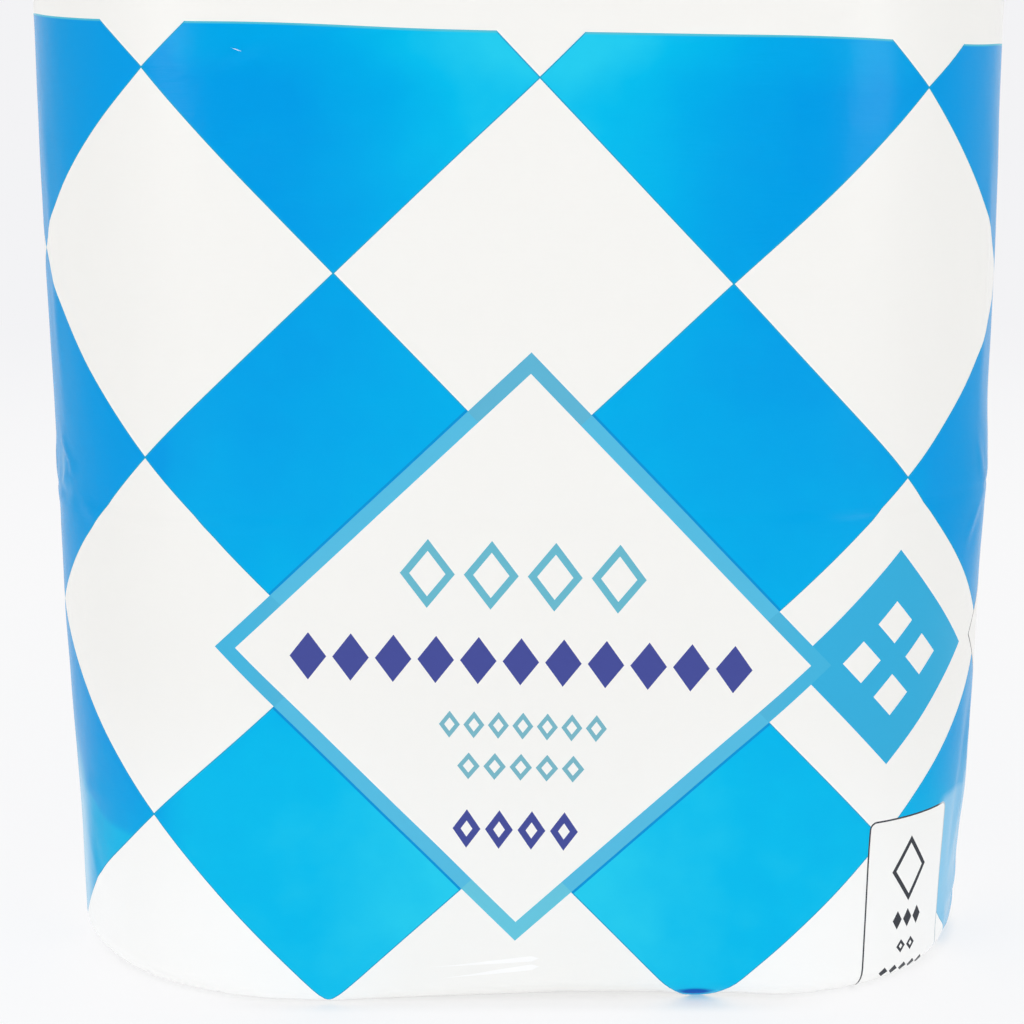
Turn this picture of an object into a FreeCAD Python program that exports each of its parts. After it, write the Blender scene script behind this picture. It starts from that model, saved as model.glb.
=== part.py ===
import FreeCAD, Part
import math
import os

# Four toilet rolls stand two by two in one sealed film wrap, modelled as one closed solid.
# X is the width, Y the depth with the front at -Y, Z is up. The origin is the middle of the base.

# The rolls inside, which set the overall size
roll_diameter = 100.0
roll_width = 103.0
roll_layers = 2
core_diameter = 42.0

# The film's bend over the ends of the rolls, and its dip between the two rolls of a layer
rim_radius = 5.5
span_dip = 0.6

# The waist where the layers meet: deepest round the ends, faint on the front and back
waist_end_depth = 1.3
waist_face_depth = 0.3
waist_height = 22.0
waist_steps = 3

# The wrap is a little tighter round the foot; next to each folded end the wall blends over this height
foot_tightness = 0.5
wall_taper = 30.0

# Envelope folds on the top and the underside, each in a straight end of this height
end_height = 30.0
tuck_depth = 0.9
flap_step = 0.5
flap_overlap = 8.0
core_dimple_depth = 1.6

# Gathers where the film turns over the rounded ends
pleat_count = 8
pleat_spread = 147.0
pleat_depth = 0.7
pleat_width = 1.8
pleat_overrun = 1.2
pleat_reach_in = 19.0
pleat_reach_down = 13.0
short_pleat_share = 0.7

# The lap seam up the middle of the back
seam_width = 18.0
seam_step = 0.5

roll_radius = roll_diameter / 2
pack_width = 2 * roll_diameter
pack_height = roll_layers * roll_width
same_level = 0.001
up = FreeCAD.Vector(0, 0, 1)


def point(x, y, z):
    return FreeCAD.Vector(x, y, z)


def outline(height, inset=0.0, end_inset=0.0, dip=0.0):
    """Plan outline: two roll-shaped ends joined by film spans, which may dip between the rolls."""
    radius = roll_radius - inset
    tilt = math.asin(2 * dip * roll_radius / (roll_radius ** 2 + dip ** 2))
    side_x = roll_radius - radius * math.sin(tilt)
    side_y = radius * math.cos(tilt)
    end_x = roll_radius + radius - end_inset
    edges = []
    for turn in (1, -1):
        start = point(turn * side_x, -turn * side_y, height)
        end = point(turn * side_x, turn * side_y, height)
        onward = point(-turn * side_x, turn * side_y, height)
        middle = point(0, turn * (radius - dip), height)
        span = Part.Arc(end, middle, onward) if dip else Part.LineSegment(end, onward)
        edges.append(Part.Arc(start, point(turn * end_x, 0, height), end).toShape())
        edges.append(span.toShape())
    return Part.Wire(edges)


def round_rim(wall, level):
    """Rounds the edges of a wall at one level, where the film bends over the rolls."""
    rim = []
    for edge in wall.Edges:
        ends = [vertex.Point.z for vertex in edge.Vertexes]
        if max(abs(end - level) for end in ends) < same_level:
            rim.append(edge)
    return wall.makeFillet(rim_radius, rim)


def waist(middle):
    """Outlines of the drawn-in band between two layers, a hollow that fades at both of its edges."""
    sections = []
    for step in range(2 * waist_steps + 1):
        share = step / waist_steps - 1
        draw = math.cos(share * math.pi / 2) ** 2
        level = middle + share * waist_height / 2
        sections.append(outline(level, waist_face_depth * draw, waist_end_depth * draw, span_dip))
    return sections


def walls():
    """The wall between the two folded ends, which dips between the rolls and draws in at each waist."""
    top = pack_height - end_height
    sections = [outline(end_height, foot_tightness), outline(end_height + wall_taper, dip=span_dip)]
    for layer in range(1, roll_layers):
        sections += waist(layer * roll_width)
    sections += [outline(top - wall_taper, dip=span_dip), outline(top)]
    return Part.makeLoft(sections, True, True)


def sloped_fold(heading, lap, reach, step, plan):
    """A wedge above the top: it starts a step deep at lap, runs out at reach, and keeps to a plan."""
    clear = rim_radius
    side = up.cross(heading)
    width = 2 * pack_width
    slope = [
        heading * lap + point(0, 0, pack_height + clear),
        heading * lap + point(0, 0, pack_height - step),
        heading * reach + point(0, 0, pack_height),
        heading * (reach + clear) + point(0, 0, pack_height + clear),
    ]
    face = Part.Face(Part.makePolygon(slope + slope[:1]))
    face.translate(side * (-width / 2))
    return face.extrude(side * width).common(plan_prism(plan, 0, pack_height + clear))


def plan_prism(corners, low, high):
    """An upright prism from corners given as (x, y)."""
    loop = [point(x, y, low) for x, y in corners]
    face = Part.Face(Part.makePolygon(loop + loop[:1]))
    return face.extrude(point(0, 0, high - low))


def end_tuck():
    """Takes the tucked film at the right end of the top down towards the roll's axis."""
    across = roll_radius + rim_radius
    fan = [(roll_radius, 0), (roll_radius + across, -across), (roll_radius + across, across)]
    return sloped_fold(point(1, 0, 0), roll_radius, 2 * roll_radius, tuck_depth, fan)


def back_flap():
    """Takes the back flap down to where the front flap laps over it."""
    lap_x = roll_radius - flap_overlap
    across = roll_radius + rim_radius
    flap = [(-lap_x, flap_overlap), (lap_x, flap_overlap), (roll_radius, 0)]
    flap += [(roll_radius + across, across), (-roll_radius - across, across), (-roll_radius, 0)]
    return sloped_fold(point(0, 1, 0), 0, roll_radius, flap_step, flap)


def core_dimple():
    """The film sinks a little over the open core of the right roll."""
    rim = core_diameter / 2
    radius = (rim ** 2 + core_dimple_depth ** 2) / (2 * core_dimple_depth)
    centre = point(roll_radius, 0, pack_height - core_dimple_depth + radius)
    return Part.makeSphere(radius, centre, point(1, 0, 0))


def pleat(angle, radius, share):
    """One gather: a narrow sunk fold over the rim, which fades out inwards and down the wall."""
    bend = point(roll_radius + radius - rim_radius, 0, pack_height - rim_radius)
    sunk = rim_radius - pleat_depth
    over = bend + point(0, 0, sunk)
    beside = bend + point(sunk, 0, 0)
    corner = bend + point(sunk * math.sin(math.pi / 4), 0, sunk * math.cos(math.pi / 4))
    start = over + point(-pleat_reach_in * share, 0, pleat_depth) * pleat_overrun
    end = beside + point(pleat_depth, 0, -pleat_reach_down * share) * pleat_overrun
    clear_x = end.x + pleat_depth
    clear_z = start.z + pleat_depth
    loop = [start, over, corner, beside, end]
    loop += [point(clear_x, 0, end.z), point(clear_x, 0, clear_z), point(start.x, 0, clear_z)]
    fold = Part.Face(Part.makePolygon(loop + loop[:1]))
    turn = math.degrees(pleat_width / radius)
    axis = point(roll_radius, 0, 0)
    fold.rotate(axis, up, angle - turn / 2)
    return fold.revolve(axis, up, turn)


def pleats(radius):
    """The fan of gathers round the right end, every other one shorter."""
    fan = []
    for index in range(pleat_count):
        angle = pleat_spread * (index / (pleat_count - 1) - 0.5)
        share = short_pleat_share if index % 2 else 1.0
        fan.append(pleat(angle, radius, share))
    return fan


def end_cuts(radius):
    """All that is taken from the top: both ends, and the back flap between them."""
    one_end = pleats(radius) + [end_tuck(), core_dimple()]
    other_end = [cut.mirror(point(0, 0, 0), point(1, 0, 0)) for cut in one_end]
    return one_end + other_end + [back_flap()]


def folded_end(inset):
    """The top stretch of the wrap, with its rounded rim, folded flaps and gathers."""
    foot = Part.Face(outline(pack_height - end_height, inset))
    block = round_rim(foot.extrude(point(0, 0, end_height)), pack_height)
    for cut in end_cuts(roll_radius - inset):
        block = block.cut(cut)
    return block


def back_seam():
    """The film's own edge laps over itself up the middle of the back."""
    half = seam_width / 2
    inside = roll_radius / 2
    lap_y = roll_radius - span_dip
    lap = [(-half, inside), (half, inside), (half, lap_y + seam_step), (-half, lap_y)]
    return plan_prism(lap, rim_radius, pack_height - rim_radius)


def wrapped_pack():
    """The whole pack: two folded ends, the wall between them, and the seam."""
    top = folded_end(0)
    underside = folded_end(foot_tightness).mirror(point(0, 0, pack_height / 2), up)
    return underside.fuse([walls(), top, back_seam()]).removeSplitter()


os.makedirs("parts", exist_ok=True)
pack = wrapped_pack()
solid = pack.Solids[0]
print("solids", len(pack.Solids), "valid", solid.isValid(), "volume", round(solid.Volume), "faces", len(solid.Faces))
solid.exportStep("parts/wrapped_pack.step")
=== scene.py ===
import math

import bpy
import numpy as np
from mathutils import Matrix, Vector


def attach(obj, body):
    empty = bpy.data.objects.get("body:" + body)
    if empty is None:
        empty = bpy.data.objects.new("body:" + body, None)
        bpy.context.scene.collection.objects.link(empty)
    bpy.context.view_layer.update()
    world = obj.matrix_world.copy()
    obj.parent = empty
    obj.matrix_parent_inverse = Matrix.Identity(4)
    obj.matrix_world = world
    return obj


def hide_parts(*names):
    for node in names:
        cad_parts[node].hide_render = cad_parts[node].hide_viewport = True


# Four toilet rolls in one printed film wrap. Lengths are in millimetres here and become metres
# when they reach a mesh. The film is measured along itself: "along" runs round the pack to the
# right from the front middle, "up" runs up the wall and on over the rims.

MM = 0.001

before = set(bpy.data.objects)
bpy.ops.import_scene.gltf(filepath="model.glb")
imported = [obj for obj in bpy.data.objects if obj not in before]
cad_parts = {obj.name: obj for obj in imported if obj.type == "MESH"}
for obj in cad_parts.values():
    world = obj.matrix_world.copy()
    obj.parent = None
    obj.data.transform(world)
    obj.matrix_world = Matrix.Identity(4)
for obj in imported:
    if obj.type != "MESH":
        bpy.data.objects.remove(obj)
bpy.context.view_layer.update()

# The rolls and the film that bends over them
ROLL_RADIUS = 50.0
PACK_HEIGHT = 206.0
RIM_RADIUS = 5.5
LAYER_HEIGHT = PACK_HEIGHT / 2
GIRTH = 4 * ROLL_RADIUS + 2 * math.pi * ROLL_RADIUS
QUARTER = GIRTH / 4
FLAT_RADIUS = ROLL_RADIUS - RIM_RADIUS
RIM_LENGTH = RIM_RADIUS * math.pi / 2
TABLE_GAP = 0.01

# How closely the film's mesh is ruled, in mm between lines
PLAIN_SPACING = 1.75
PLEAT_SPACING = 0.5
WALL_SPACING = 1.8
FINE_SPACING = 1.1
END_SPACING = 1.6
RIM_STEPS = 7
FLAT_TILT = math.pi / 2 - 0.001
WELD_GAP = 0.02
CRISP_ANGLE = 50.0

# The folds on the top and the underside
TUCK_ANGLE = 45.0
TUCK_DEPTH = 0.9
FLAP_STEP = 0.5
FLAP_OVERLAP = 8.0
TUCK_SHADE_START = 4.0
CORE_RADIUS = 21.0
DIMPLE_DEPTH = 1.6
EDGE_GAP = 0.09
PLEAT_ANGLES = (10.5, 31.5, 52.5, 73.5)
PLEAT_DEPTH = 0.7
PLEAT_WIDTH = 1.1
PLEAT_REACH_IN = 19.0
PLEAT_REACH_DOWN = 13.0
PLEAT_RIDGE = 0.3

# The wall. Its relief fades out over the rims and for RIM_CLEARANCE past them. The foot is a little
# tighter, up to the heights of FOOT_BLEND. Between two rolls the film dips, most away from the rims.
RIM_CLEARANCE = 4.0
FOOT_TIGHTNESS = 0.5
FOOT_BLEND = (60.0, 30.0)
SPAN_DIP = 0.6
SPAN_DIP_RISE = (24.0, 60.0)
SPAN_DIP_AT_RIMS = 0.12
WAIST_FACE_DEPTH = 0.3
WAIST_END_DEPTH = 0.45
WAIST_HALF_HEIGHT = 11.0
WAIST_FOLD_HEIGHT = 2.2
WAIST_FOLD_SHARE = 0.6
SEAM_HALF_WIDTH = 9.0
SEAM_STEP = 0.5

# The film's own map is drawn in tenths of a metre
MAP_UNIT = 100.0

# The printed check: half a lozenge each way, where it starts, and how far it leans. Above its first
# crossings the lozenges crowd together away from the front middle.
PITCH_ALONG = 37.99
PITCH_UP = 37.65
PRINT_START = (4.41, 186.43)
PRINT_SKEW = math.radians(2.10)
PRINT_SHEAR = math.radians(1.91)
TOP_CROWDING = 0.18
CROWDING_REACH = (0.5, 2.0)
LOZENGES_ROUND = 7
FRONT_REACH = 95.0

CHANCE_SEED = 7


def smooth(low, high, value):
    """0 below low, 1 above high and an even S between them; low may be the larger."""
    share = np.clip((value - low) / (high - low), 0, 1)
    return share * share * (3 - 2 * share)


def ruled(length, spacing):
    """Places from 0 to length, as close together as spacing(place) asks."""
    fine = np.linspace(0, length, 4000)
    weight = 1 / spacing(fine)
    total = np.concatenate([[0], np.cumsum((weight[1:] + weight[:-1]) / 2 * np.diff(fine))])
    count = int(round(total[-1]))
    return np.interp(np.linspace(0, total[-1], count + 1), total, fine)


def pleat_places():
    """Where the gathers stand on the first quarter of the girth."""
    return [ROLL_RADIUS + ROLL_RADIUS * math.radians(90 - angle) for angle in PLEAT_ANGLES]


def columns():
    """The film's upright lines, from the back middle round by the left, the front and the right."""
    def spacing(place):
        nearest = np.min([np.abs(place - pleat) for pleat in pleat_places()], axis=0)
        return PLEAT_SPACING + (PLAIN_SPACING - PLEAT_SPACING) * smooth(1.2, 4.0, nearest)

    tuck_edge = ROLL_RADIUS + ROLL_RADIUS * math.radians(90 - TUCK_ANGLE)
    quarter = ruled(QUARTER, spacing)
    quarter = quarter[np.abs(quarter - tuck_edge) > 3 * EDGE_GAP]
    lap_edge = SEAM_HALF_WIDTH
    quarter = quarter[np.abs(quarter - lap_edge) > 3 * EDGE_GAP]
    crisp = [place + gap for place in (lap_edge, tuck_edge) for gap in (-EDGE_GAP, EDGE_GAP)]
    quarter = np.sort(np.concatenate([quarter, crisp]))
    half = np.concatenate([quarter, 2 * QUARTER - quarter[-2::-1]])
    return np.concatenate([-half[:0:-1], half])


def rows():
    """The film's level lines from the middle of the underside to the middle of the top.

    Each row is (inward offset, height, tilt of the normal, place up the film)."""
    def wall_spacing(place):
        level = place + RIM_RADIUS
        waist = np.abs(level - LAYER_HEIGHT)
        ends = np.minimum(level, PACK_HEIGHT - level)
        fine = np.maximum(smooth(14, 8, waist), smooth(30, 16, ends))
        return WALL_SPACING + (FINE_SPACING - WALL_SPACING) * fine

    flat = ruled(FLAT_RADIUS, lambda place: np.full_like(place, END_SPACING))
    flap_edge = ROLL_RADIUS - RIM_RADIUS - FLAP_OVERLAP
    flat = flat[np.abs(flat - flap_edge) > 3 * EDGE_GAP]
    flat = np.sort(np.concatenate([flat, [flap_edge - EDGE_GAP, flap_edge + EDGE_GAP]]))
    wall = RIM_RADIUS + ruled(PACK_HEIGHT - 2 * RIM_RADIUS, wall_spacing)
    bend = np.linspace(0, math.pi / 2, RIM_STEPS + 1)
    table = []
    for inward in flat[:0:-1]:
        table.append((RIM_RADIUS + inward, 0, -math.pi / 2, RIM_RADIUS - RIM_LENGTH - inward))
    for tilt in -bend[:0:-1]:
        drop = RIM_RADIUS * math.sin(tilt)
        inward = RIM_RADIUS * (1 - math.cos(tilt))
        table.append((inward, RIM_RADIUS + drop, tilt, RIM_RADIUS + RIM_RADIUS * tilt))
    for level in wall:
        table.append((0, level, 0, level))
    top = PACK_HEIGHT - RIM_RADIUS
    for tilt in bend[1:]:
        rise = RIM_RADIUS * math.sin(tilt)
        inward = RIM_RADIUS * (1 - math.cos(tilt))
        table.append((inward, top + rise, tilt, top + RIM_RADIUS * tilt))
    for inward in flat[1:]:
        table.append((RIM_RADIUS + inward, PACK_HEIGHT, math.pi / 2, top + RIM_LENGTH + inward))
    return np.array(table)


class Film:
    """The plain stretched film before it creases: places, normals and where each point is."""

    def __init__(self, around, levels):
        self.along = around[None, :] + 0 * levels[:, :1]
        inward, height, tilt, up = (levels[:, index:index + 1] + 0 * self.along for index in range(4))
        self.up = up
        self.tilt = tilt
        self.height = height
        side = np.sign(self.along)
        reach = np.abs(self.along)
        self.on_end = (reach > ROLL_RADIUS) & (reach < GIRTH / 2 - ROLL_RADIUS)
        turned = np.clip((reach - ROLL_RADIUS) / ROLL_RADIUS, 0, math.pi) - math.pi / 2
        self.angle = turned
        axis_x = side * ROLL_RADIUS
        front = reach <= ROLL_RADIUS
        back = reach >= GIRTH / 2 - ROLL_RADIUS
        axis_x = np.where(front, self.along, axis_x)
        axis_x = np.where(back, side * (GIRTH / 2 - reach), axis_x)
        self.out_x = np.where(self.on_end, side * np.cos(turned), 0)
        self.out_y = np.where(self.on_end, np.sin(turned), np.where(front, -1.0, 1.0))
        self.axis_x = axis_x
        self.side = side
        self.back = back
        foot = FOOT_TIGHTNESS * smooth(*FOOT_BLEND, height)
        flat = np.abs(tilt) > FLAT_TILT
        lying_radius = (ROLL_RADIUS - inward) * (1 - foot / FLAT_RADIUS)
        radius = np.where(flat, lying_radius, ROLL_RADIUS - foot - inward)
        self.radius = radius
        self.x = axis_x + self.out_x * radius
        self.y = self.out_y * radius
        clear = RIM_RADIUS + RIM_CLEARANCE
        self.wall = np.where(height < LAYER_HEIGHT, smooth(-RIM_LENGTH, clear, up), 1.0)
        self.wall = self.wall * smooth(PACK_HEIGHT + RIM_LENGTH, PACK_HEIGHT - clear, up)
        self.on_top = height > LAYER_HEIGHT
        self.flatness = smooth(0.35 * math.pi, 0.5 * math.pi, np.abs(tilt))

    def pushed(self, outward, spread):
        """The film's points in mm, each moved outward along its normal, with the rims spread level."""
        level = np.cos(self.tilt) * outward + spread
        x = self.x + self.out_x * level
        y = self.y + self.out_y * level
        z = np.maximum(self.height + np.sin(self.tilt) * outward, TABLE_GAP)
        return np.stack([x, y, z], axis=-1)


def waist(film):
    """The wrap draws in where the two layers meet, deepest round the ends."""
    off = np.abs(film.up - LAYER_HEIGHT)
    wide = np.cos(np.clip(off / WAIST_HALF_HEIGHT, 0, 1) * math.pi / 2) ** 2
    fold = np.exp(-off / WAIST_FOLD_HEIGHT)
    end = np.where(film.on_end, np.cos(film.angle) ** 2, 0)
    drawn = (1 - WAIST_FOLD_SHARE) * wide + WAIST_FOLD_SHARE * fold
    return -drawn * (WAIST_FACE_DEPTH + WAIST_END_DEPTH * end)


def span(film):
    """Between the two rolls of a layer the film dips."""
    across = np.clip(1 - (film.axis_x / ROLL_RADIUS) ** 2, 0, 1)
    flat_side = np.where(film.on_end, 0, across)
    between_rims = smooth(*SPAN_DIP_RISE, film.up) * smooth(*SPAN_DIP_RISE, PACK_HEIGHT - film.up)
    share = SPAN_DIP_AT_RIMS * film.wall + (1 - SPAN_DIP_AT_RIMS) * between_rims
    return -SPAN_DIP * flat_side * share


def end_folds(film):
    """The tucked ends, the lapped flaps between them and the dips over the open cores."""
    across = np.abs(film.x)
    tucked = film.on_end & (np.abs(np.degrees(film.angle)) < TUCK_ANGLE)
    tuck = TUCK_DEPTH * np.clip(1 - (across - ROLL_RADIUS) / ROLL_RADIUS, 0, 1)
    back_flap = FLAP_STEP * np.clip(1 - film.y / ROLL_RADIUS, 0, 1)
    under = np.where(film.y > FLAP_OVERLAP, 1.0, 0.0)
    under = np.where(film.on_end & (film.y > 0), 1.0, under)
    depth = np.where(tucked, tuck, back_flap * under)
    core = np.hypot(across - ROLL_RADIUS, film.y) / CORE_RADIUS
    dimple = DIMPLE_DEPTH * np.clip(1 - core ** 2, 0, 1)
    sunk = (depth ** 3 + dimple ** 3) ** (1 / 3)
    return -sunk * film.flatness


def pleats(film, chance):
    """Gathers where the film turns over the rounded ends, each a sharp valley with a soft ridge beside it.

    Towards the front they run out on the rim."""
    depth = np.zeros_like(film.x)
    degrees = np.degrees(film.angle)
    for side in (-1, 1):
        for top in (True, False):
            here = (film.side == side) & (film.on_top == top) & film.on_end
            rim = PACK_HEIGHT - RIM_RADIUS if top else RIM_RADIUS
            inward = (film.up - rim) * (1 if top else -1)
            for number, place in enumerate(sorted([-a for a in PLEAT_ANGLES] + list(PLEAT_ANGLES))):
                shift = chance.uniform(-1.0, 1.0)
                lean = chance.uniform(-0.05, 0.05)
                share = chance.uniform(0.55, 0.8) if number % 2 else chance.uniform(0.85, 1.1)
                reach_in = RIM_LENGTH + PLEAT_REACH_IN * share
                reach_down = PLEAT_REACH_DOWN * share
                off = np.radians(degrees - place - shift) * ROLL_RADIUS + lean * inward
                hand = 1 if chance.uniform() > 0.5 else -1
                valley = np.exp(-(off / (0.55 * PLEAT_WIDTH)) ** 2)
                ridge = np.exp(-((off - hand * 1.5 * PLEAT_WIDTH) / (0.9 * PLEAT_WIDTH)) ** 2)
                length = smooth(reach_in, 0.35 * reach_in, inward)
                length = length * smooth(-reach_down, -0.2 * reach_down, inward)
                if place < 0:
                    length = length * smooth(0.3 * RIM_LENGTH, 1.3 * RIM_LENGTH, inward)
                depth += np.where(here, (PLEAT_RIDGE * ridge - valley) * length * share, 0)
    return PLEAT_DEPTH * depth


def back_seam(film):
    """The film's own edge laps over itself up the middle of the back."""
    off = GIRTH / 2 - np.abs(film.along)
    across = np.where(film.side > 0, off, -off)
    lap = SEAM_STEP * smooth(-SEAM_HALF_WIDTH, 0.4 * SEAM_HALF_WIDTH, across)
    inside = np.abs(across) < SEAM_HALF_WIDTH
    return np.where(inside & film.back, lap * film.wall, 0)


def rim_bend(film):
    """How far round a rim a point is: 0 on the wall, 1 where the flat end starts, falling to 0 within it."""
    turned = np.abs(film.tilt) / (math.pi / 2)
    inward = ROLL_RADIUS - film.radius - RIM_RADIUS
    return turned * smooth(16, 0, inward)


# How far the rim at the foot stands out (mm) at places along the front and round the right end: it bulges
# on the left, lifts on the right, has a pressed lip under the right lozenge and narrows past the label
FOOT_SPREAD = (
    (-75, 0), (-57, 1.0), (-39, 2.4), (-19, 0.8), (9, -1.3),
    (29, -1.7), (33.5, 0.2), (37.5, 0.2), (42, -0.9), (52, 0),
    (78, 0), (96, -0.8), (110, -1.9), (122, -1.9), (140, 0),
)


def rim_spread(film, chance):
    """The rims are not quite even."""
    bend = smooth(0.05, 0.75, rim_bend(film))
    front_foot = np.interp(film.along, *zip(*FOOT_SPREAD))
    uneven = np.zeros_like(film.x)
    for turns in (3, 5, 8, 13):
        phase = chance.uniform(0, 2 * math.pi)
        wave = 2 * math.pi * turns * film.along / GIRTH + phase + 1.7 * film.on_top
        uneven += np.sin(wave) / (2 + turns / 4)
    elsewhere = smooth(60, 90, np.abs(film.along))
    own = np.where(film.on_top, 0.5 * uneven, 0.6 * uneven * elsewhere + front_foot)
    return own * bend


def crease(film, start, end, height, width, hand):
    """One drawn-tight wrinkle between two places (along, up) on the wall: a ridge beside a valley."""
    run = np.array(end, float) - np.array(start, float)
    length = np.hypot(*run)
    run /= length
    far_x = film.along - start[0]
    far_y = film.up - start[1]
    onward = far_x * run[0] + far_y * run[1]
    beside = far_x * run[1] - far_y * run[0]
    fade = smooth(-0.25 * length, 0.35 * length, onward) * smooth(1.25 * length, 0.65 * length, onward)
    ridge = np.exp(-(beside / width) ** 2)
    valley = np.exp(-((beside - hand * 1.7 * width) / (1.2 * width)) ** 2)
    return height * fade * (ridge - 0.6 * valley)


# The wrinkles that pull out from the rims, the waist and the lower corners: start and end of each
# (along, up), its height, its width, and the hand of its valley
WRINKLES = (
    ((-39.6, 196.5), (-23.0, 200.0), 0.22, 1.5, 1),
    ((-34.0, 194.8), (-16.0, 199.0), 0.16, 1.3, 1),
    ((-56.0, 189.0), (-47.0, 193.5), 0.20, 1.4, 1),
    ((22.9, 194.0), (44.9, 197.0), 0.20, 1.6, 1),
    ((52.0, 193.0), (66.0, 198.0), 0.20, 1.6, -1),
    ((-88.0, 100.4), (-44.5, 101.6), 0.14, 1.4, 1),
    ((48.0, 101.8), (86.0, 100.6), 0.14, 1.4, -1),
    ((-106.0, 115.0), (-98.5, 108.0), 0.36, 1.2, 1),
    ((-98.5, 108.5), (-107.0, 103.5), 0.32, 1.2, -1),
    ((-104.5, 111.0), (-103.0, 104.0), 0.34, 1.0, 1),
    ((-114.0, 112.0), (-116.0, 104.5), 0.35, 1.6, 1),
    ((-97.0, 104.0), (-90.0, 99.0), 0.20, 1.4, 1),
    ((-105.0, 175.0), (-103.0, 125.0), 0.22, 2.6, 1),
    ((105.0, 170.0), (104.0, 120.0), 0.20, 2.6, -1),
    ((103.0, 112.0), (107.5, 100.0), 0.30, 1.3, -1),
    ((99.0, 93.0), (106.0, 101.0), 0.22, 1.3, 1),
    ((-107.0, 38.0), (-93.0, 39.5), 0.30, 2.0, 1),
    ((-106.0, 29.0), (-98.0, 16.0), 0.15, 1.9, -1),
    ((-19.8, 8.1), (3.8, 10.1), 0.30, 0.75, 1),
    ((-17.8, 5.5), (3.8, 7.9), 0.28, 0.75, 1),
    ((98.0, 6.0), (103.0, 8.5), 0.45, 2.4, 1),
    ((112.0, 54.0), (105.5, 22.0), 0.40, 1.8, 1),
    ((150.0, 180.0), (162.0, 196.0), 0.30, 1.8, 1),
    ((-148.0, 176.0), (-160.0, 197.0), 0.30, 1.8, -1),
    ((168.0, 104.0), (206.0, 101.0), 0.18, 1.6, 1),
    ((-170.0, 101.0), (-210.0, 104.0), 0.18, 1.6, -1),
    ((150.0, 22.0), (160.0, 9.0), 0.30, 1.8, -1),
    ((-150.0, 25.0), (-163.0, 10.0), 0.30, 1.8, 1),
)


def wrinkles(film):
    """All the wall's wrinkles together."""
    total = np.zeros_like(film.x)
    for start, end, height, width, hand in WRINKLES:
        total += crease(film, start, end, height, width, hand)
    return total * film.wall


# Broad soft swellings, and the hollows where the rounded ends narrow to the foot: the middle of each
# (along, up), its reach both ways, and its height
SWELLINGS = (
    (108.0, 106.0, 14.0, 10.0, 1.0),
    (107.0, 140.0, 14.0, 32.0, 0.4),
    (108.0, 103.5, 14.0, 4.0, 0.5),
    (107.0, 95.0, 14.0, 12.0, 0.4),
    (103.0, 18.0, 16.0, 20.0, -0.5),
    (116.0, 7.0, 16.0, 12.0, -2.5),
    (114.0, 24.0, 14.0, 7.0, -0.55),
    (114.0, 11.0, 12.0, 3.8, 0.9),
    (-109.0, 150.0, 14.0, 34.0, 0.45),
    (-109.0, 104.0, 14.0, 5.0, 0.35),
    (-109.0, 102.5, 14.0, 3.5, 0.6),
    (-109.0, 96.0, 14.0, 8.0, 0.15),
    (-108.0, 74.0, 14.0, 14.0, 0.4),
)


def slack(film):
    """The swellings and hollows together."""
    total = np.zeros_like(film.x)
    for along, up, reach_along, reach_up, height in SWELLINGS:
        off = ((film.along - along) / reach_along) ** 2 + ((film.up - up) / reach_up) ** 2
        total += height * np.exp(-off)
    return total * film.wall


# The waves in the stretched film, each with its length and height, and how far they sink it
RIPPLES = ((60, 0.10), (34, 0.06), (19, 0.035))
RIPPLES_OF_EACH = 4
RIPPLE_SINK = 0.15


def ripple(film, chance):
    """The stretched film is never quite even."""
    total = np.zeros_like(film.x)
    for size, height in RIPPLES:
        for _ in range(RIPPLES_OF_EACH):
            heading = chance.uniform(0, 2 * math.pi)
            phase = chance.uniform(0, 2 * math.pi)
            wave = (film.x * math.cos(heading) + film.y * 0.7 + film.height * math.sin(heading)) / size
            total += height * np.sin(2 * math.pi * wave + phase) / 2
    return total - RIPPLE_SINK


# Where the film isn't stretched evenly, so that the print sits a little off: the middle of each place
# (along, up), its reach, and how far the print moves to the right and up
PRINT_PULLS = (
    (-71.5, 189.2, 16.0, 0.66, -0.60),
    (80.3, 183.6, 16.0, -0.50, 0.0),
    (4.4, 186.4, 14.0, 0.1, -0.2),
    (41.1, 147.4, 18.0, -0.1, 0.3),
    (-74.0, 114.0, 18.0, -0.22, -0.1),
    (77.8, 108.4, 18.0, 0.60, 0.2),
    (-76.5, 38.7, 18.0, -0.48, 0.1),
    (-16.0, 196.0, 18.0, 0.0, -0.35),
    (58.0, 196.0, 24.0, 0.0, 0.45),
    (116.0, 196.0, 19.0, 0.0, 1.4),
    (-114.0, 196.0, 14.0, 0.0, 0.8),
    (-71.5, 198.0, 7.0, 0.0, 0.45),
    (-100.0, 22.0, 14.0, 0.0, 1.5),
)


def pulled_print(along, up):
    """The place that each point of the film had before it was stretched unevenly."""
    across, tall = along.copy(), up.copy()
    for middle, level, reach, right, rise in PRINT_PULLS:
        near = np.exp(-((along - middle) ** 2 + (up - level) ** 2) / reach ** 2)
        across -= right * near
        tall -= rise * near
    return across, tall


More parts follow.
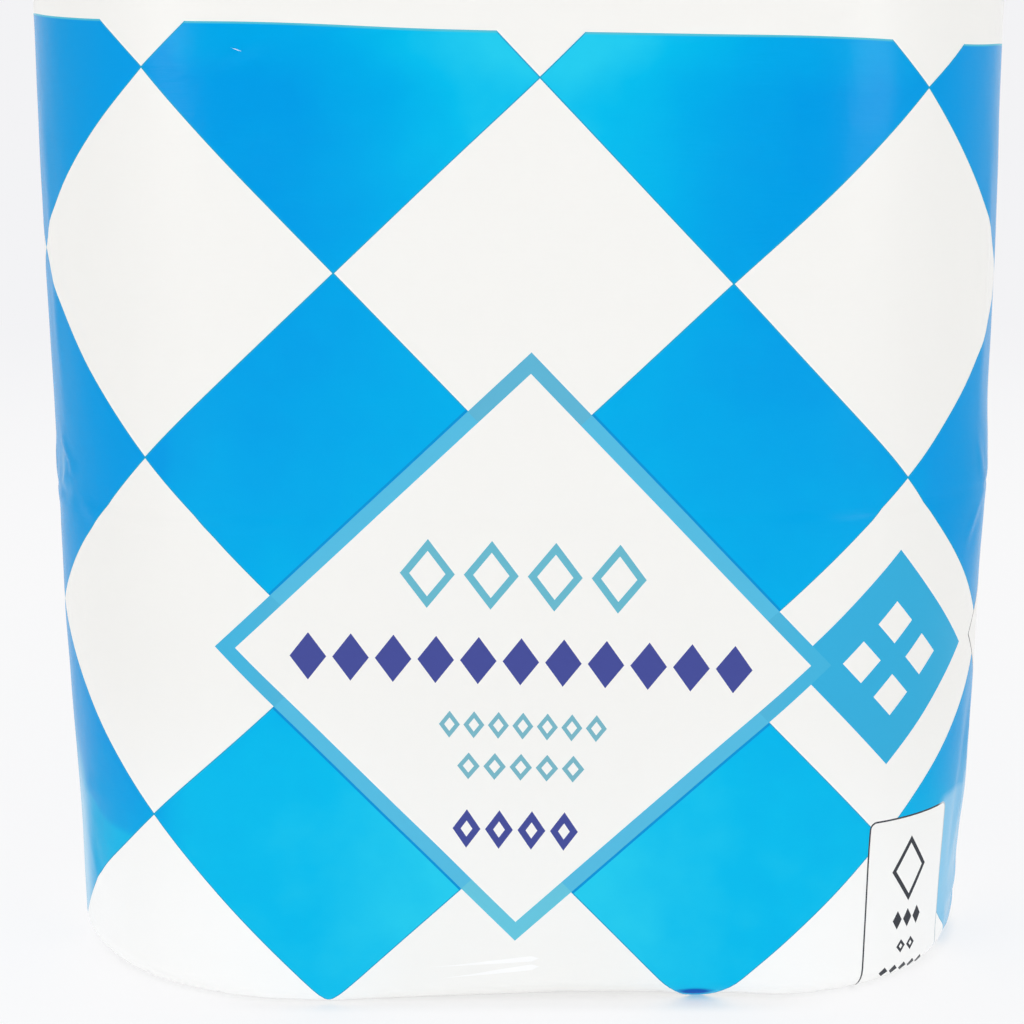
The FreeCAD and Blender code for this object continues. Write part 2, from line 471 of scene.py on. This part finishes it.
def lattice(along, up):
    """Where a place on the film falls in the printed check: whole numbers are lozenge middles and corners.

    Behind the front the lozenges are drawn in a little, so that seven of them meet round the pack,
    and the print's lean to the right eases off. Above the first crossings they crowd together."""
    reach = np.abs(along)
    behind = smooth(FRONT_REACH, GIRTH / 2, reach)
    closing = LOZENGES_ROUND * PITCH_ALONG - GIRTH / 2
    across = along + np.sign(along) * closing * behind - PRINT_START[0]
    leaning = (along - PRINT_START[0]) * (1 - behind)
    down = (PRINT_START[1] - up - leaning * math.sin(PRINT_SKEW)) / (PITCH_UP * math.cos(PRINT_SHEAR))
    rightward = (across + down * PITCH_UP * math.sin(PRINT_SHEAR)) / (PITCH_ALONG * math.cos(PRINT_SKEW))
    crowding = 1 + TOP_CROWDING * smooth(*CROWDING_REACH, np.abs(rightward))
    return rightward, np.where(down < 0, down * crowding, down)


def film_wrap():
    """The whole printed wrap as one closed skin over the rolls."""
    around = columns()
    levels = rows()
    film = Film(around, levels)
    chance = np.random.default_rng(CHANCE_SEED)
    outward = waist(film) + span(film) + end_folds(film) + pleats(film, chance)
    outward += back_seam(film) + wrinkles(film) + slack(film) + ripple(film, chance) * film.wall
    places = film.pushed(outward, rim_spread(film, chance))
    places[:, -1] = places[:, 0]  # the skin closes on itself behind

    bpy.ops.object.select_all(action="DESELECT")
    across, tall = len(around) - 1, len(levels) - 1
    bpy.ops.mesh.primitive_grid_add(x_subdivisions=across, y_subdivisions=tall, size=2)
    wrap = bpy.context.object
    wrap.name = "film_wrap"
    mesh = wrap.data
    ruled_points = np.empty(len(mesh.vertices) * 3, np.float32)
    mesh.vertices.foreach_get("co", ruled_points)
    ruled_points = ruled_points.reshape(-1, 3)
    column = np.rint((ruled_points[:, 0] + 1) / 2 * across).astype(int)
    row = np.rint((ruled_points[:, 1] + 1) / 2 * tall).astype(int)
    mesh.vertices.foreach_set("co", (places[row, column] * MM).astype(np.float32).ravel())

    corner = np.empty(len(mesh.loops), np.int32)
    mesh.loops.foreach_get("vertex_index", corner)
    along = film.along[row, column][corner]
    up = film.up[row, column][corner]
    past_lap = np.repeat(along.reshape(-1, 4).mean(axis=1) > GIRTH / 2 - SEAM_HALF_WIDTH, 4)
    along = np.where(past_lap, along - GIRTH, along)
    rightward, down = lattice(*pulled_print(along, up))
    maps = (("film_place", along / MAP_UNIT, up / MAP_UNIT), ("print_place", rightward, down))
    for name, first, second in maps:
        layer = mesh.uv_layers.new(name=name)
        layer.data.foreach_set("uv", np.stack([first, second], axis=-1).astype(np.float32).ravel())

    bpy.ops.object.mode_set(mode="EDIT")
    bpy.ops.mesh.select_all(action="SELECT")
    bpy.ops.mesh.remove_doubles(threshold=WELD_GAP * MM)
    bpy.ops.mesh.normals_make_consistent(inside=False)
    bpy.ops.object.mode_set(mode="OBJECT")
    bpy.ops.object.shade_smooth_by_angle(angle=math.radians(CRISP_ANGLE))
    return wrap


def colour(red, green, blue):
    """A colour seen on a screen, as the light that Blender counts in."""
    parts = []
    for part in (red, green, blue):
        share = part / 255
        parts.append(share / 12.92 if share <= 0.04045 else ((share + 0.055) / 1.055) ** 2.4)
    return (*parts, 1.0)


RAYS_SEEN = ("Is Camera Ray", "Is Glossy Ray", "Is Transmission Ray")


class Finish:
    """One material or backdrop, written as expressions on what varies over it."""

    def __init__(self, owner, ending="ShaderNodeOutputMaterial"):
        owner.use_nodes = True
        self.owner = owner
        self.ending = ending
        self.tree = owner.node_tree
        self.tree.nodes.clear()

    def node(self, kind, settings=None, inputs=None, output=0):
        """Adds a node, sets it, feeds its sockets and gives one of its outputs."""
        made = self.tree.nodes.new(kind)
        for name, setting in (settings or {}).items():
            if name == "stops":
                self.set_stops(made.color_ramp.elements, setting)
            else:
                setattr(made, name, setting)
        for name, value in (inputs or {}).items():
            if isinstance(value, Varying):
                self.tree.links.new(value.socket, made.inputs[name])
            else:
                made.inputs[name].default_value = value
        return Varying(self, made.outputs[output]) if made.outputs else made

    def set_stops(self, elements, stops):
        """Puts a ramp's colours at their places."""
        while len(elements) < len(stops):
            elements.new(1.0)
        for element, (place, paint) in zip(elements, stops):
            element.position = place
            element.color = paint

    def mix(self, share, under, over):
        """over laid on under where share is 1."""
        settings = {"data_type": "RGBA"}
        return self.node("ShaderNodeMix", settings, {0: share, 6: under, 7: over}, 2)

    def parts(self, vector):
        """The first two numbers of a vector."""
        first = self.node("ShaderNodeSeparateXYZ", None, {0: vector}, 0)
        second = self.node("ShaderNodeSeparateXYZ", None, {0: vector}, 1)
        return first, second

    def shown_directly(self):
        """1 where the camera sees this itself, also in a gloss or through glass."""
        seen = [self.node("ShaderNodeLightPath", None, None, ray) for ray in RAYS_SEEN]
        return seen[0].most(seen[1]).most(seen[2])

    def surface(self, shader):
        """Ends the nodes in this shader."""
        self.node(self.ending, None, {"Surface": shader})
        return self.owner


class Varying:
    """A number that varies over a surface. Arithmetic on it adds Math nodes."""

    def __init__(self, finish, socket):
        self.finish = finish
        self.socket = socket

    def math(self, operation, *others):
        inputs = dict(enumerate((self, *others)))
        return self.finish.node("ShaderNodeMath", {"operation": operation}, inputs)

    def turned(self, operation, other):
        return self.finish.node("ShaderNodeMath", {"operation": operation}, {0: other, 1: self})

    def __add__(self, other):
        return self.math("ADD", other)

    def __radd__(self, other):
        return self.turned("ADD", other)

    def __sub__(self, other):
        return self.math("SUBTRACT", other)

    def __rsub__(self, other):
        return self.turned("SUBTRACT", other)

    def __mul__(self, other):
        return self.math("MULTIPLY", other)

    def __rmul__(self, other):
        return self.turned("MULTIPLY", other)

    def __truediv__(self, other):
        return self.math("DIVIDE", other)

    def __lt__(self, other):
        return self.math("LESS_THAN", other)

    def __gt__(self, other):
        return self.math("GREATER_THAN", other)

    def __abs__(self):
        return self.math("ABSOLUTE")

    def least(self, other):
        return self.math("MINIMUM", other)

    def most(self, other):
        return self.math("MAXIMUM", other)

    def zigzag(self):
        """0 at even whole numbers, 1 at odd ones and straight between."""
        return self.math("PINGPONG", 1.0)

    def ease(self, low, high):
        """0 at low, 1 at high and an even S between them."""
        settings = {"interpolation_type": "SMOOTHSTEP"}
        inputs = {"Value": self, "From Min": low, "From Max": high}
        return self.finish.node("ShaderNodeMapRange", settings, inputs)


# The film's colours, print with painted light and shade among them; the check runs through these blues from
# its outer lozenges to its palest
CHECK_BLUES = (
    (0.0, colour(0, 156, 229)),
    (0.45, colour(0, 173, 233)),
    (0.75, colour(4, 188, 236)),
    (1.0, colour(36, 203, 238)),
)
# Painted shade: the outer lozenges deepen to this blue where the film turns round the rounded ends
SIDE_SHADE_BLUE = colour(0, 152, 214)
KEYLINE = colour(36, 164, 206)
TOP_LINE = colour(84, 192, 214)
BORDER = colour(95, 180, 212)
BORDER_ON_BLUE = colour(86, 187, 224)
BORDER_EDGE = colour(8, 146, 214)
RHOMBUS = colour(56, 174, 220)
BORDER_TIP = colour(70, 180, 221)
BORDER_FOOT = colour(104, 198, 222)
TEAL_INK = colour(106, 184, 205)
PALE_TEAL_INK = colour(122, 182, 198)
NAVY_INK = colour(71, 79, 152)
GREY_INK = colour(66, 68, 74)
LABEL_SIDE = colour(196, 206, 212)
# Painted shade on the lip at the right foot, where the film curls under
LIP_SHADE = colour(0, 88, 186)
# Painted highlight
GLINT = colour(255, 255, 255)
FILM_WHITE = colour(244, 243, 240)
# Painted light: the film's white towards the foot
LIT_FOOT_WHITE = colour(252, 252, 251)
# Painted sheen: reflected light over the blue
PAINTED_SHEEN = colour(184, 224, 246)
TUCKED_WHITE = colour(234, 234, 233)
# Painted shade lines along the folds and the back lap
FOLD_SHADE_LINE = colour(202, 204, 206)

# Places on the print are counted in half lozenges, to the right and down from the crossing near the
# top of the front middle
CHECK_TOP = -0.22
CHECK_FOOT = 5.0
KEYLINE_HALF_WIDTH = 0.004869
PANEL_MIDDLE = (0.0, 2.98)
PANEL_HALF = 1.61
PANEL_INNER_HALF = 1.50
BLUE_RHOMBUS_MIDDLE = (1.99, 2.975)
BLUE_RHOMBUS_HALF = 0.592
WINDOW_OFFSETS = ((0, -0.2), (-0.2, 0), (0.2, 0), (0, 0.2))
WINDOW_HALF = 0.115
SIDE_RHOMBUS_MIDDLE = (3.33, 2.97)
SIDE_RHOMBUS_HALF = 0.59
LABEL_MIDDLE = (2.240, 4.49)
LABEL_HALF = (0.325, 0.597)
LABEL_CORNER = 0.045
LABEL_LINE = 0.010

# Rows of small lozenges: how far down, from where to where across, how many, half how tall,
# how much of each is hollow, and the ink
ORNAMENT_WIDTH = 0.86
ORNAMENT_ROWS = (
    (2.545, -0.67, 0.65, 4, 0.185, 0.66, TEAL_INK),
    (3.01, -1.23, 1.21, 11, 0.13, 0.0, NAVY_INK),
    (3.365, -0.44, 0.46, 7, 0.075, 0.5, PALE_TEAL_INK),
    (3.595, -0.34, 0.35, 5, 0.075, 0.5, PALE_TEAL_INK),
    (3.95, -0.36, 0.33, 4, 0.11, 0.42, NAVY_INK),
    (4.21, 2.07, 2.39, 1, 0.19, 0.78, GREY_INK),
    (4.50, 2.11, 2.35, 3, 0.055, 0.0, GREY_INK),
    (4.66, 2.15, 2.31, 2, 0.04, 0.4, GREY_INK),
    (4.80, 2.04, 2.42, 5, 0.035, 0.0, GREY_INK),
)

# Painted highlights: thin lines of light low on the front and one near its top, from start to end and half
# how wide, along and up on the film's own map
GLINTS = (
    ((-0.198, 0.081), (0.038, 0.101), 0.006),
    ((-0.178, 0.055), (0.038, 0.083), 0.006),
    ((-0.526, 1.920), (-0.504, 1.912), 0.0018),
)
# Middles of the painted highlight on the waist fold at the left and of the painted shade on the lip at the
# right foot, along and up on the film's own map
WAIST_FOLD_SHEEN = (-1.045, 1.07)
SHADED_LIP = (0.356, 0.019)


def distance(across, tall):
    """How far off a point is, from how far it is each way."""
    return (across * across + tall * tall).math("SQRT")


def lozenge(right, down, middle, half):
    """How far out a point is in a lozenge: 1 on its edge."""
    return (abs(right - middle[0]) + abs(down - middle[1])) / half


def ornament_row(right, down, level, first, last, count, half_height, hollow):
    """A row of small lozenges, side by side."""
    step = (last - first) / count
    inside = (right > first) * (right < last)
    near = ((right - first) / step).math("FRACT")
    out = abs(near - 0.5) * (2.0 / ORNAMENT_WIDTH) + abs(down - level) / half_height
    row = inside * (out < 1.0)
    return row * (out > hollow) if hollow else row


def glint(along, up, start, end, half_width):
    """A painted highlight: a bright line that widens from start and closes at its end."""
    slope = (end[1] - start[1]) / (end[0] - start[0])
    off = abs(up - (along - start[0]) * slope - start[1])
    width = along.ease(start[0], end[0]) * along.ease(end[0], end[0] - 0.02) * half_width
    return off - width < 0.0


def check_blue(finish, right, down, slack_film):
    """The check's blue: paler in the middle, under its top edge and towards the foot. Painted shade makes it
    deeper at the sides, where the film turns round the ends, and deepest low on the left above a crease with
    a rounded corner, which leaves the film below that crease paler, as if it faced the table's light."""
    near_middle = abs(right).ease(1.4, 0.1)
    paler = near_middle * (0.28 + down.ease(2.0, 0.2) * 0.57) + down.ease(0.6, 4.2) * 0.75
    paler = paler + down.ease(0.15, -0.2) * 0.22 + (slack_film - 0.5) * 0.28
    # Painted shade: deeper at the sides, above the foot
    paler = paler - abs(right).ease(1.6, 2.6) * down.ease(4.3, 3.4) * 0.4
    # Painted shade low on the left above a crease with a rounded corner; below it the blue is left paler, as
    # painted light from the table
    round_corner = (right + 2.38).least(0.0)
    below_crease = (down + round_corner * round_corner * 1.5).ease(4.14, 4.21)
    paler = paler - right.ease(-1.75, -2.1) * (0.45 - below_crease * 0.45)
    check = finish.node("ShaderNodeValToRGB", {"stops": CHECK_BLUES}, {0: paler})
    # Painted shade: towards the rounded ends the blue turns deeper
    return finish.mix(abs(right).ease(2.1, 3.0) * 0.7, check, SIDE_SHADE_BLUE)


def checked(finish, white, right, down, slack_film):
    """The check with its thin lines between colours and along its top. Also gives where it is blue."""
    one_way = right + down
    other_way = right - down
    cell = ((one_way * 0.5).math("FLOOR") + (other_way * 0.5).math("FLOOR")) * 0.5
    crowded = abs(right).ease(*CROWDING_REACH) * TOP_CROWDING
    past_top = down - CHECK_TOP - crowded * CHECK_TOP
    printed = (past_top > 0.0) * (down < CHECK_FOOT)
    blue = (cell.math("FRACT") < 0.25) * printed
    edge = one_way.zigzag().least(other_way.zigzag())
    film = finish.mix(blue, white, check_blue(finish, right, down, slack_film))
    film = finish.mix((edge < KEYLINE_HALF_WIDTH) * printed, film, KEYLINE)
    return finish.mix(blue * past_top.ease(0.015, 0.006), film, TOP_LINE), blue


def with_painted_sheen(finish, film, blue, along, up, slack_film):
    """Painted sheen over the blue, the pale reflected light on slack film: low on the rounded ends, beside
    the label and on a fold of the waist at the left, where it is a painted highlight. Painted shade makes
    the lip at the right foot deep, where the film curls under towards the table."""
    low_ends = abs(along).ease(1.00, 1.10) * abs(along).ease(1.21, 1.10) * up.ease(0.52, 0.28)
    low_ends = low_ends * (0.30 + slack_film * 0.35 + (along < 0.0) * 0.3)
    beside_label = along.ease(0.93, 0.97) * along.ease(1.25, 1.05) * up.ease(0.388, 0.360) * 0.5
    off_fold = up - WAIST_FOLD_SHEEN[1]
    aside = (along - WAIST_FOLD_SHEEN[0] + off_fold * 0.4) * 1.6
    waist_fold = distance(aside, off_fold).ease(0.08, 0.0) * (slack_film * 0.8 - 0.1)
    # Painted sheen and a painted highlight over the blue
    film = finish.mix(blue * low_ends.most(waist_fold).most(beside_label), film, PAINTED_SHEEN)
    # Painted shade: the lip at the right foot is deep blue
    off_lip = distance((along - SHADED_LIP[0]) * 0.33, up - SHADED_LIP[1])
    return finish.mix(blue * off_lip.ease(0.016, 0.006), film, LIP_SHADE)


def fold_marks(finish, film, along, up):
    """The tucked film on the top and the underside looks greyer. Painted shade lines run along the folds and
    the back lap.
    """
    off_middle = abs(up - LAYER_HEIGHT / MAP_UNIT)
    lying = off_middle > (LAYER_HEIGHT + TUCK_SHADE_START) / MAP_UNIT
    off_tuck = abs(abs(along) - QUARTER / MAP_UNIT)
    half_tuck = ROLL_RADIUS * math.radians(TUCK_ANGLE) / MAP_UNIT
    flap_level = (LAYER_HEIGHT - RIM_RADIUS + RIM_LENGTH + FLAT_RADIUS - FLAP_OVERLAP) / MAP_UNIT
    off_flap = abs(off_middle - flap_level)
    behind = abs(along) > (GIRTH / 2 - ROLL_RADIUS) / MAP_UNIT
    film = finish.mix(lying * (off_tuck < half_tuck), film, TUCKED_WHITE)
    # Painted shade lines along the tuck folds, the flap edges and the back lap
    film = finish.mix(lying * abs(off_tuck - half_tuck).ease(0.008, 0.002), film, FOLD_SHADE_LINE)
    film = finish.mix(lying * behind * off_flap.ease(0.006, 0.002), film, FOLD_SHADE_LINE)
    lap_edge = (GIRTH / 2 - SEAM_HALF_WIDTH) / MAP_UNIT
    return finish.mix(along.ease(lap_edge - 0.012, lap_edge - 0.002) * 0.9, film, FOLD_SHADE_LINE)


def with_blue_rhombus(finish, film, right, down):
    """The blue rhombus beside the panel, with four small white ones in it."""
    film = finish.mix(lozenge(right, down, BLUE_RHOMBUS_MIDDLE, BLUE_RHOMBUS_HALF) < 1.0, film, RHOMBUS)
    for aside, lower in WINDOW_OFFSETS:
        middle = (BLUE_RHOMBUS_MIDDLE[0] + aside, BLUE_RHOMBUS_MIDDLE[1] + lower)
        film = finish.mix(lozenge(right, down, middle, WINDOW_HALF) < 1.0, film, FILM_WHITE)
    return film


def with_panel(finish, film, white, blue, right, down):
    """The white panel and its blue border, which changes a little round it and over the blue check."""
    out = lozenge(right, down, PANEL_MIDDLE, PANEL_HALF)
    border = finish.mix(abs(right).ease(0.9, 1.55), BORDER, BORDER_TIP)
    border = finish.mix(down.ease(3.4, 4.5), border, BORDER_FOOT)
    border = finish.mix(blue, border, BORDER_ON_BLUE)
    film = finish.mix((out < 1.012) * (out > 0.99) * blue, film, BORDER_EDGE)
    film = finish.mix(out < 1.0, film, border)
    return finish.mix(out < PANEL_INNER_HALF / PANEL_HALF, film, white)


def with_side_rhombus(finish, film, white, right, down):
    """The white rhombus with a thin grey line, past the front on the right."""
    out = lozenge(right, down, SIDE_RHOMBUS_MIDDLE, SIDE_RHOMBUS_HALF)
    film = finish.mix(out < 1.0, film, GREY_INK)
    return finish.mix(out < 0.975, film, white)


def with_label(finish, film, white, right, down):
    """The white label with rounded corners, and a thin line round it that is grey on the left."""
    far_right = (abs(right - LABEL_MIDDLE[0]) - (LABEL_HALF[0] - LABEL_CORNER)).most(0.0)
    far_down = (abs(down - LABEL_MIDDLE[1]) - (LABEL_HALF[1] - LABEL_CORNER)).most(0.0)
    out = distance(far_right, far_down)
    film = finish.mix(out < LABEL_CORNER, film, finish.mix(right.ease(2.46, 2.52), GREY_INK, LABEL_SIDE))
    return finish.mix(out < LABEL_CORNER - LABEL_LINE, film, white)


def printed_film():
    """Glossy printed film: the blue and white check, the panel, the rhombuses, the label and fine marks,
    with painted sheen, shade, light and highlights on it.
    """
    finish = Finish(bpy.data.materials.new("printed_film"))
    spot = finish.node("ShaderNodeUVMap", {"uv_map": "film_place"})
    along, up = finish.parts(spot)
    slack_film = finish.node("ShaderNodeTexNoise", None, {"Vector": spot, "Scale": 9.0, "Detail": 3.0})
    right, down = finish.parts(finish.node("ShaderNodeUVMap", {"uv_map": "print_place"}))

    # Painted light: the white is brighter towards the foot, less so in the middle, as if lit from the table
    foot = down.ease(3.0, 4.7) * (0.4 + abs(right).ease(0.5, 1.2) * 0.6)
    white = finish.mix(foot, FILM_WHITE, LIT_FOOT_WHITE)
    film, blue = checked(finish, white, right, down, slack_film)
    # Painted sheen over the blue, and painted shade on the lip at the right foot
    film = with_painted_sheen(finish, film, blue, along, up, slack_film)
    film = fold_marks(finish, film, along, up)
    # Painted highlights on the film
    for start, end, half_width in GLINTS:
        film = finish.mix(glint(along, up, start, end, half_width), film, GLINT)
    film = with_blue_rhombus(finish, film, right, down)
    film = with_panel(finish, film, white, blue, right, down)
    film = with_side_rhombus(finish, film, white, right, down)
    film = with_label(finish, film, white, right, down)
    for *row, ink in ORNAMENT_ROWS:
        film = finish.mix(ornament_row(right, down, *row), film, ink)

    stretch = finish.node("ShaderNodeMapping", None, {"Vector": spot, "Scale": (10.0, 75.0, 1.0)})
    grain = finish.node("ShaderNodeTexNoise", None, {"Vector": stretch, "Scale": 2.0, "Detail": 4.0})
    relief = {"Height": grain * 0.15 + slack_film, "Distance": 0.0006, "Strength": 0.3}
    inputs = {"Base Color": film, "Roughness": 0.22, "Normal": finish.node("ShaderNodeBump", None, relief)}
    inputs.update({"IOR": 1.45, "Specular IOR Level": 0.06})
    return finish.surface(finish.node("ShaderNodeBsdfPrincipled", None, inputs))


BACKDROP = colour(243, 243, 245)
FLOOR_GLOW = colour(253, 253, 254)
FLOOR_CARD = colour(252, 252, 252)
FLOOR_RADIUS = 6.0
FLOOR_SIDES = 96

# How much of the floor glows to the camera near the pack, and how much less before the foot and right
# under it; how much light it throws up; and the light all round and how much less comes from the front
NEAR_GLOW = 0.84
FOOT_SHADE = 0.4
CONTACT_SHADE = 0.25
THROWN_LIGHT = 0.4
ROOM_LIGHT = 0.67
FRONT_DIMMING = 0.47


def pale_floor():
    """A pale lit table that keeps the pack's shadow, lights its foot and fades into the backdrop."""
    bpy.ops.object.select_all(action="DESELECT")
    bpy.ops.mesh.primitive_circle_add(vertices=FLOOR_SIDES, radius=FLOOR_RADIUS, fill_type="NGON")
    floor = bpy.context.object
    floor.name = "floor"
    finish = Finish(bpy.data.materials.new("pale_floor"))
    place = finish.node("ShaderNodeTexCoord", None, None, "Object")
    away = finish.node("ShaderNodeVectorMath", {"operation": "LENGTH"}, {0: place}, "Value")
    across, deep = finish.parts(place)
    beyond_roll = (abs(across) - ROLL_RADIUS * MM).most(0.0)
    off_foot = distance(beyond_roll, deep) - ROLL_RADIUS * MM
    card = finish.node("ShaderNodeBsdfDiffuse", None, {"Color": FLOOR_CARD})
    far = away.ease(0.3, 1.2)
    glow = finish.node("ShaderNodeEmission", None, {"Color": finish.mix(far, FLOOR_GLOW, BACKDROP)})
    shown = finish.shown_directly()
    front = off_foot.ease(0.004, -0.001) * abs(across).ease(0.070, 0.045)
    contact = front * FOOT_SHADE + off_foot.ease(-0.001, -0.004) * CONTACT_SHADE
    glowing = NEAR_GLOW + far * (1 - NEAR_GLOW) - contact
    share = shown * glowing + (1 - shown) * away.ease(0.5, 0.12) * THROWN_LIGHT
    shader = finish.node("ShaderNodeMixShader", None, {0: share, 1: card, 2: glow})
    floor.data.materials.append(finish.surface(shader))


def backdrop():
    """White all round for the camera. Its light is even, but dimmer from the front, as beside a camera."""
    world = bpy.data.worlds.new("backdrop")
    bpy.context.scene.world = world
    room = Finish(world, "ShaderNodeOutputWorld")
    heading = room.node("ShaderNodeTexCoord", None, None, "Generated")
    forward = {0: heading, 1: (0, -1, 0)}
    frontal = room.node("ShaderNodeVectorMath", {"operation": "DOT_PRODUCT"}, forward, "Value")
    dim = frontal.ease(0.55, 0.92)
    strength = ROOM_LIGHT - dim * FRONT_DIMMING
    light = room.node("ShaderNodeBackground", None, {"Color": (1, 1, 1, 1), "Strength": strength})
    seen = room.node("ShaderNodeBackground", None, {"Color": BACKDROP})
    share = room.shown_directly() * (1 - dim * room.node("ShaderNodeLightPath", None, None, "Is Glossy Ray"))
    room.surface(room.node("ShaderNodeMixShader", None, {0: share, 1: light, 2: seen}))


# Each lamp's name, place (m), size (m) and power (W)
SOFTBOXES = (
    ("left_softbox", (-0.9, -0.9, 0.36), 0.45, 4.5),
    ("right_softbox", (0.95, -0.9, 0.32), 0.45, 4.5),
    ("top_softbox", (-0.25, 0.5, 1.3), 0.5, 1.4),
)


def softbox(name, place, size, power):
    """A square soft lamp aimed at the middle of the pack."""
    target = Vector((0, 0, LAYER_HEIGHT * MM))
    bpy.ops.object.select_all(action="DESELECT")
    bpy.ops.object.light_add(type="AREA", location=place)
    lamp = bpy.context.object
    lamp.name = name
    lamp.data.shape = "SQUARE"
    lamp.data.size = size
    lamp.data.energy = power
    lamp.rotation_euler = (target - lamp.location).to_track_quat("-Z", "Y").to_euler()


# Where the camera stands (mm), how it is turned (pitch, yaw and roll in degrees), and its lens
CAMERA_PLACE = (3.37, -419.09, 185.52)
CAMERA_TURN = (12.47, -0.72, 0.43)
CAMERA_LENS = 68.48
SENSOR_WIDTH = 36.0


def camera():
    """Stands close before the front, a little above the middle, and looks slightly down."""
    pitch, yaw, roll = (math.radians(angle) for angle in CAMERA_TURN)
    forward = Vector((math.sin(yaw) * math.cos(pitch), math.cos(yaw) * math.cos(pitch), -math.sin(pitch)))
    right = Vector((math.cos(yaw), -math.sin(yaw), 0))
    down = forward.cross(right)
    across = math.cos(roll) * right + math.sin(roll) * down
    lower = -math.sin(roll) * right + math.cos(roll) * down
    turn = Matrix((across, -lower, -forward)).transposed()
    bpy.ops.object.camera_add()
    viewer = bpy.context.object
    viewer.matrix_world = Matrix.Translation(Vector(CAMERA_PLACE) * MM) @ turn.to_4x4()
    viewer.data.sensor_width = SENSOR_WIDTH
    viewer.data.lens = CAMERA_LENS
    viewer.data.clip_start = 0.01
    bpy.context.scene.camera = viewer


wrap = film_wrap()
wrap.data.materials.append(printed_film())
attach(wrap, "root")
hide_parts("wrapped_pack")

pale_floor()
backdrop()
for lamp in SOFTBOXES:
    softbox(*lamp)
camera()
bpy.context.scene.view_settings.view_transform = "Standard"
